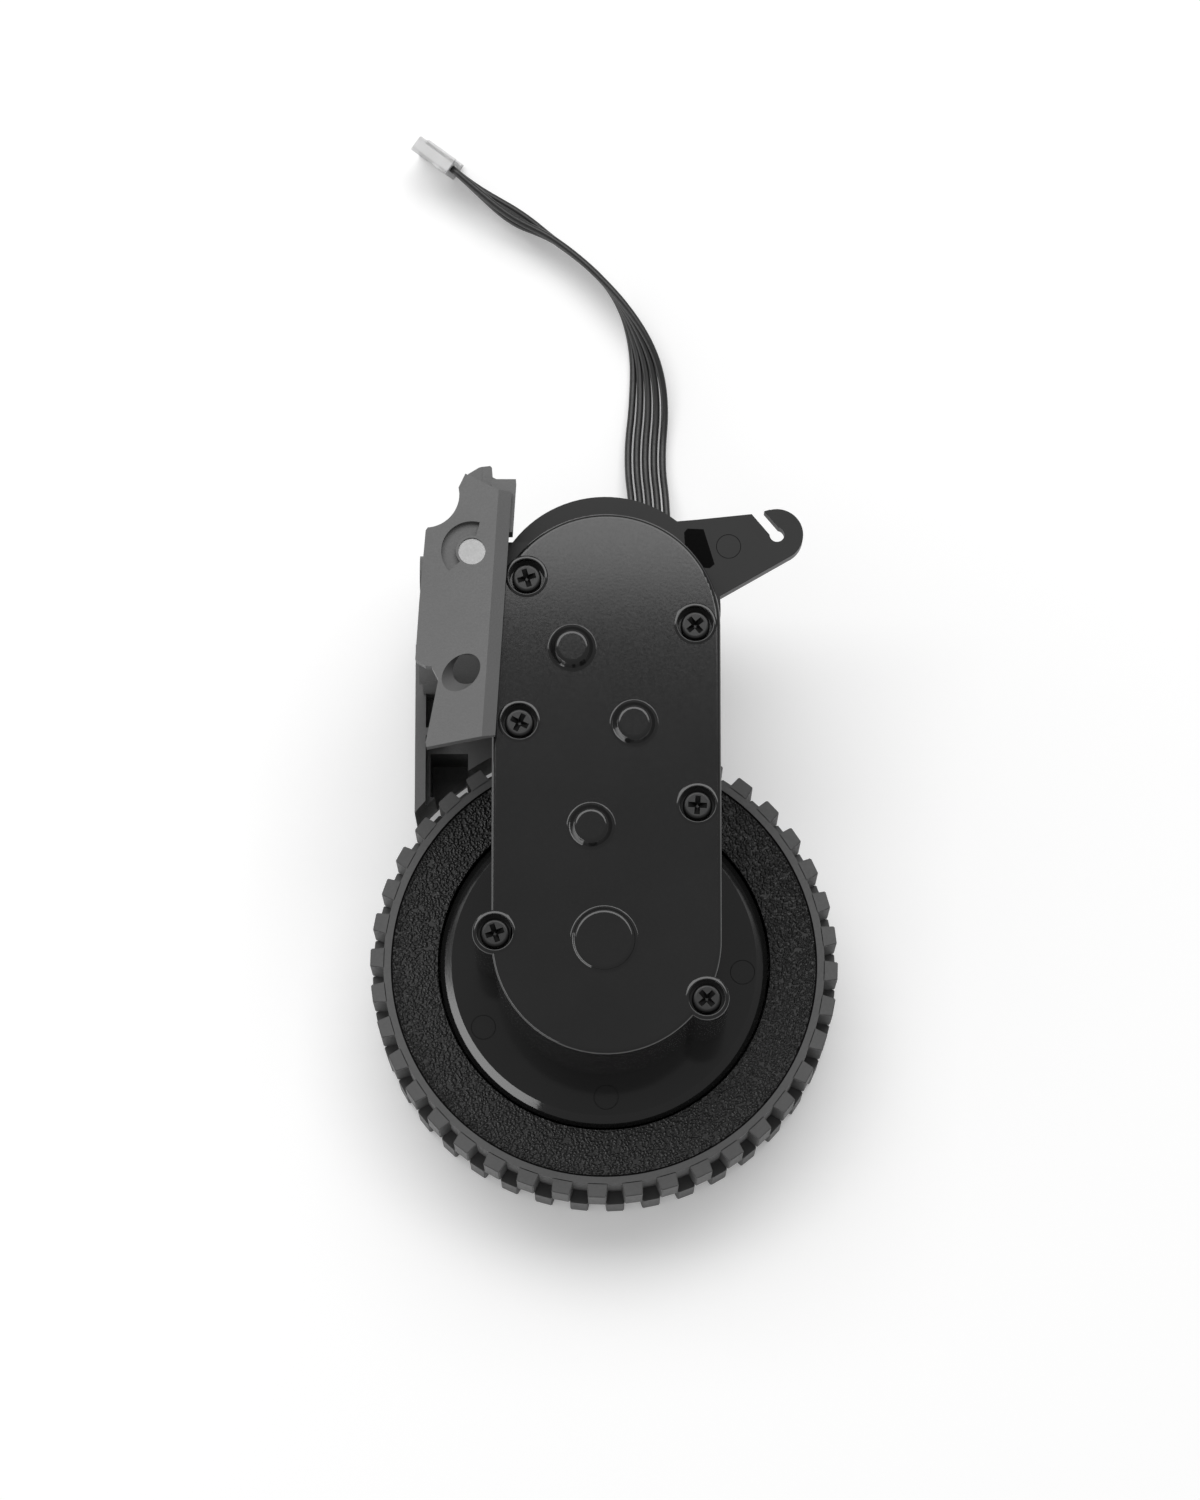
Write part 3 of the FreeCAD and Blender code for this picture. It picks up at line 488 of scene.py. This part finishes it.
def boss_profile(base, top, height):
    """A low cone's skin from the cover's face to its middle, with a soft foot and a soft brim."""
    crown = COVER_TOP + height + BOSS_SKIN
    profile = ((base + 2 * BOSS_ROUND, COVER_TOP - BOSS_SKIN), (base + BOSS_SKIN, COVER_TOP + BOSS_SKIN),
               (top + BOSS_SKIN, crown), (0.0, crown))
    return rounded_profile(profile, BOSS_ROUND)


def make_cover_forms():
    """Skins over the boss of each gear pin and of the axle, and the soft rim of each counterbore."""
    mesh = bmesh.new()
    for node in ("first_gear_pin", "second_gear_pin", "third_gear_pin"):
        turn_profile(mesh, boss_profile(*PIN_BOSS), middle_of(node))
    turn_profile(mesh, boss_profile(*AXLE_BOSS), middle_of("wheel_axle"), AXLE_BOSS_FACETS)
    wall = COUNTERBORE - RIM_INSET
    crest = COVER_TOP + RIM_RISE
    rim = ((wall, COVER_TOP - RIM_WIDTH), (wall, crest), (COUNTERBORE + RIM_WIDTH, crest),
           (COUNTERBORE + 2 * RIM_WIDTH, COVER_TOP - RIM_INSET))
    for place in SCREW_PLACES:
        turn_profile(mesh, rounded_profile(rim, RIM_ROUND), place)
    ridden_piece("cover_forms", mesh, "housing")


def head_profile():
    """Half a pan head: flat under it, round at its brim."""
    top = SCREW_SEAT + SCREW_HEAD_HEIGHT
    brim = ((SCREW_SHANK, SCREW_SEAT), (SCREW_HEAD_RADIUS, SCREW_SEAT), (SCREW_HEAD_RADIUS, top), (0.0, top))
    return [(0.0, SCREW_SEAT)] + rounded_profile(brim, SCREW_HEAD_ROUND)


def thread_profile():
    """Half a screw's shank from its tip to the head, round the thread's crests and roots."""
    points = [(0.0, SCREW_TIP), (SCREW_POINT, SCREW_TIP)]
    level = SCREW_TIP + THREAD_PITCH
    while level < SCREW_SEAT - THREAD_PITCH:
        points += [(SCREW_CORE, level), (SCREW_SHANK, level + THREAD_PITCH / 2)]
        level += THREAD_PITCH
    return points + [(SCREW_CORE, SCREW_SEAT)]


def cross_outline(reach, half):
    return ((half, half), (reach, half), (reach, -half), (half, -half), (half, -reach), (-half, -reach),
            (-half, -half), (-reach, -half), (-reach, half), (-half, half), (-half, reach), (half, reach))


def cross_cutter(place, turn):
    """A tapered cross that cuts a screw's recess."""
    mesh = bmesh.new()
    top = SCREW_SEAT + SCREW_HEAD_HEIGHT + CROSS_CLEARANCE
    spin = Matrix.Rotation(math.radians(turn), 4, "Z")
    sections = []
    for level, reach, half in ((top - CROSS_DEPTH, CROSS_FOOT_REACH, CROSS_FOOT_HALF),
                               (top, CROSS_REACH, CROSS_HALF)):
        corners = [spin @ Vector((x, y, 0)) + Vector((*place, level)) for x, y in cross_outline(reach, half)]
        sections.append([mesh.verts.new(corner) for corner in corners])
    join_rings(mesh, sections)
    return loose_piece("cross", mesh, "screw")


def make_screws():
    """Heads with their crosses cut, then the threads under them."""
    mesh = bmesh.new()
    for place in SCREW_PLACES:
        turn_profile(mesh, head_profile(), place, HEAD_FACETS)
    screws = ridden_piece("cross_screws", mesh, "screw")
    cutters = [cross_cutter(place, CROSS_TURN + CROSS_TURN_STEP * k) for k, place in enumerate(SCREW_PLACES)]
    for cutter in cutters:
        cut = screws.modifiers.new("cross", "BOOLEAN")
        cut.operation = "DIFFERENCE"
        cut.solver = "EXACT"
        cut.use_self = True
        cut.object = cutter
    graph = bpy.context.evaluated_depsgraph_get()
    data = bpy.data.meshes.new_from_object(screws.evaluated_get(graph))
    screws.modifiers.clear()
    mesh = bmesh.new()
    mesh.from_mesh(data)
    for place in SCREW_PLACES:
        turn_profile(mesh, thread_profile(), place, THREAD_FACETS)
    fill(data, mesh, SHARP)
    screws.data = data
    for cutter in cutters:
        bpy.data.objects.remove(cutter)
    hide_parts("cover_screws")


def make_marks():
    """Ejector marks: fine raised circles on the arm and on the flange."""
    mesh = bmesh.new()
    for place, level in ((ARM_MARK, PARTING), *((spot, FLANGE_TOP) for spot in FLANGE_MARKS)):
        line = ((MARK_RADIUS - MARK_LINE, level - MARK_LINE), (MARK_RADIUS, level + MARK_RISE),
                (MARK_RADIUS + MARK_LINE, level - MARK_LINE))
        turn_profile(mesh, line, place, MARK_FACETS)
    ridden_piece("ejector_marks", mesh, "housing", MARK_SHARP)


def make_pocket_shade():
    """Painted shade: a near-black sheet over the pocket in the corner between the arm and the gearbox."""
    mesh = bmesh.new()
    prism(mesh, ARM_POCKET, PARTING - ARM_THICK, PARTING + POCKET_RISE)
    ridden_piece("arm_pocket_shade", mesh, "painted_shade")


def plug_frame():
    """The plug's own axes: x along the wires, y through its thickness, z up its row of ways."""
    turn = Matrix.Rotation(PLUG_HEADING, 4, "Z") @ Matrix.Rotation(-PLUG_LEAN, 4, "X")
    return Matrix.Translation(Vector(CABLE_ROUTE[-1])) @ turn


def plug_part(name, boxes, bevel, material):
    """One piece of several boxes in the plug's axes, each given by its two corners, with softened edges."""
    mesh = bmesh.new()
    for low, high in boxes:
        size = [b - a for a, b in zip(low, high)]
        middle = [(a + b) / 2 for a, b in zip(low, high)]
        place = Matrix.Translation(middle) @ Matrix.Diagonal((*size, 1.0))
        bmesh.ops.create_cube(mesh, size=1.0, matrix=place)
    soften(mesh, bevel)
    mesh.transform(plug_frame())
    mesh.normal_update()
    return ridden_piece(name, mesh, material, PLUG_SHARP)


def plug_walls():
    """Walls round five open ways and a polarising rib at each edge."""
    half = (WIRE_COUNT - 1) / 2 * PLUG_PITCH + PLUG_EDGE
    skin = (PLUG_THICK - PLUG_CAVITY) / 2
    face = PLUG_THICK / 2
    boxes = [((0, -face, -half), (PLUG_LENGTH, -face + skin, half)),
             ((0, face - skin, -half), (PLUG_COLLAR, face, half)),
             ((PLUG_COLLAR + PLUG_WINDOW, face - skin, -half), (PLUG_LENGTH, face, half))]
    wall = (PLUG_PITCH - PLUG_CAVITY) / 2
    for way in range(WIRE_COUNT + 1):
        level = (way - WIRE_COUNT / 2) * PLUG_PITCH
        boxes.append(((0, -face + skin / 2, level - wall), (PLUG_LENGTH, face - skin / 2, level + wall)))
    rib = PLUG_EDGE / 3
    for side in (-1, 1):
        edge = side * (half - rib)
        boxes.append(((0, -face - skin / 3, edge - rib), (PLUG_RIB_LENGTH, face, edge + rib)))
    return boxes


def make_plug():
    """The plug's housing, and a crimped contact in every way."""
    contacts = []
    for way in range(WIRE_COUNT):
        level = (way - (WIRE_COUNT - 1) / 2) * PLUG_PITCH
        contacts.append(((CONTACT_START, -CONTACT_HALF, level - CONTACT_HALF),
                         (CONTACT_START + CONTACT_LENGTH, CONTACT_HALF, level + CONTACT_HALF)))
    housing = plug_part("plug_shell", plug_walls(), PLUG_BEVEL, "nylon")
    metal = plug_part("plug_contacts", contacts, CONTACT_BEVEL, "tin")
    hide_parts("plug_housing")
    return [housing, metal]


def route_curve():
    """Points of a smooth centre line that has the route's points as its control points."""
    data = bpy.data.curves.new("cable_route", "CURVE")
    data.dimensions = "3D"
    data.resolution_u = ROUTE_STEPS
    spline = data.splines.new("NURBS")
    spline.points.add(len(CABLE_ROUTE) - 1)
    for point, place in zip(spline.points, CABLE_ROUTE):
        point.co = (*place, 1.0)
    spline.order_u = ROUTE_ORDER
    spline.use_endpoint_u = True
    curve = add_object("cable_route", data)
    mesh = bpy.data.meshes.new_from_object(curve)
    points = [vertex.co.copy() for vertex in mesh.vertices]
    bpy.data.objects.remove(curve)
    bpy.data.meshes.remove(mesh)
    return points


def smooth_step(value, start, end):
    share = min(1.0, max(0.0, (value - start) / (end - start)))
    return share * share * (3 - 2 * share)


def ribbon_frames(points):
    """For each centre point: the direction across the ribbon, flat at the exit and on edge at the plug."""
    lengths = [0.0]
    for before, after in zip(points[:-1], points[1:]):
        lengths.append(lengths[-1] + (after - before).length)
    frames = []
    for i, point in enumerate(points):
        along = (points[min(i + 1, len(points) - 1)] - points[max(i - 1, 0)]).normalized()
        flat = along.cross(Vector((0, 0, 1))).normalized()
        upright = flat.cross(along).normalized()
        turn = smooth_step(lengths[i] / lengths[-1], TWIST_START, TWIST_END) * TWIST_TURN
        across = flat * math.cos(turn) + upright * math.sin(turn)
        frames.append((point, across, along.cross(across).normalized()))
    return frames


def wire_offset(wire, share):
    """How far a wire lies across the ribbon and out of its plane, at a share of the cable's length."""
    place = wire - (WIRE_COUNT - 1) / 2
    spread = smooth_step(share, SPREAD_START, 1.0)
    packed = smooth_step(share, TWIST_START, TWIST_END) * (1 - spread)
    pitch = WIRE_PITCH + (PACKED_PITCH - WIRE_PITCH) * packed + (PLUG_PITCH - WIRE_PITCH) * spread
    return place * pitch, math.sin(SWAY_STEP * wire + SWAY_FIRST) * math.sin(math.pi * spread) * WIRE_SWAY


def make_cable(plug):
    """The five wires of the ribbon, from the grommet to the plug."""
    centre = route_curve()
    frames = ribbon_frames(centre)
    turns = [2 * math.pi * side / WIRE_FACETS for side in range(WIRE_FACETS)]
    mesh = bmesh.new()
    for wire in range(WIRE_COUNT):
        rings = []
        for i, (point, across, normal) in enumerate(frames):
            aside, out = wire_offset(wire, i / (len(frames) - 1))
            hub = point + across * aside + normal * out
            rings.append([mesh.verts.new(hub + (across * math.cos(a) + normal * math.sin(a)) * WIRE_RADIUS)
                          for a in turns])
        join_rings(mesh, rings)
    cable = ridden_piece("flat_cable", mesh, "wire", ALL_SMOOTH)
    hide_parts("cable")


def floor_material():
    """White paper that looks lit up to the camera and in reflections, and casts no light of its own."""
    material, nodes, links = new_material("floor_white")
    shader = nodes["Principled BSDF"]
    shader.inputs["Base Color"].default_value = (*grey(FLOOR_SHADE), 1)
    shader.inputs["Roughness"].default_value = FLOOR_ROUGHNESS
    shader.inputs["Specular IOR Level"].default_value = FLOOR_SPECULAR
    glow = nodes.new("ShaderNodeEmission")
    glow.inputs["Strength"].default_value = FLOOR_GLOW
    path = nodes.new("ShaderNodeLightPath")
    seen = nodes.new("ShaderNodeMixShader")
    add = nodes.new("ShaderNodeAddShader")
    either = nodes.new("ShaderNodeMath")
    either.operation = "MAXIMUM"
    links.new(path.outputs["Is Camera Ray"], either.inputs[0])
    links.new(path.outputs["Is Glossy Ray"], either.inputs[1])
    links.new(shader.outputs["BSDF"], add.inputs[0])
    links.new(glow.outputs["Emission"], add.inputs[1])
    links.new(either.outputs["Value"], seen.inputs["Fac"])
    links.new(shader.outputs["BSDF"], seen.inputs[1])
    links.new(add.outputs["Shader"], seen.inputs[2])
    links.new(seen.outputs["Shader"], nodes["Material Output"].inputs["Surface"])
    return material


def make_stage():
    data = bpy.data.meshes.new("floor")
    corners = [(-FLOOR_HALF, -FLOOR_HALF, 0), (FLOOR_HALF, -FLOOR_HALF, 0), (FLOOR_HALF, FLOOR_HALF, 0),
               (-FLOOR_HALF, FLOOR_HALF, 0)]
    data.from_pydata(corners, [], [(0, 1, 2, 3)])
    data.materials.append(floor_material())
    add_object("floor", data)


def place_camera():
    camera = add_object("camera", bpy.data.cameras.new("camera"))
    camera.data.sensor_fit = "HORIZONTAL"
    camera.data.sensor_width = SENSOR_WIDTH_MM
    camera.data.lens = FOCAL_PIXELS * SENSOR_WIDTH_MM / IMAGE_WIDTH
    camera.data.clip_start = CLIP_START
    camera.data.clip_end = CLIP_END
    camera.location = CAMERA_PLACE
    camera.rotation_euler = (CAMERA_TILT, 0.0, 0.0)
    bpy.context.scene.camera = camera


def soft_light(name, place, target, size, power):
    data = bpy.data.lights.new(name, "AREA")
    data.shape = "RECTANGLE"
    data.size, data.size_y = size
    data.energy = power
    lamp = add_object(name, data)
    lamp.location = place
    lamp.rotation_euler = (Vector(target) - Vector(place)).to_track_quat("-Z", "Y").to_euler()


def light_scene():
    world = bpy.data.worlds.new("world")
    bpy.context.scene.world = world
    world.use_nodes = True
    background = world.node_tree.nodes["Background"]
    background.inputs["Color"].default_value = (1, 1, 1, 1)
    background.inputs["Strength"].default_value = WORLD_STRENGTH
    for name, place, target, size, power in LAMPS:
        soft_light(name, place, target, size, power)
    bpy.context.scene.view_settings.view_transform = "Standard"


place_camera()
dress_nodes()
make_tyre()
make_rim_seam_shade()
make_bracket_tip()
make_cover_forms()
make_screws()
make_marks()
make_pocket_shade()
make_cable(make_plug())
make_stage()
light_scene()
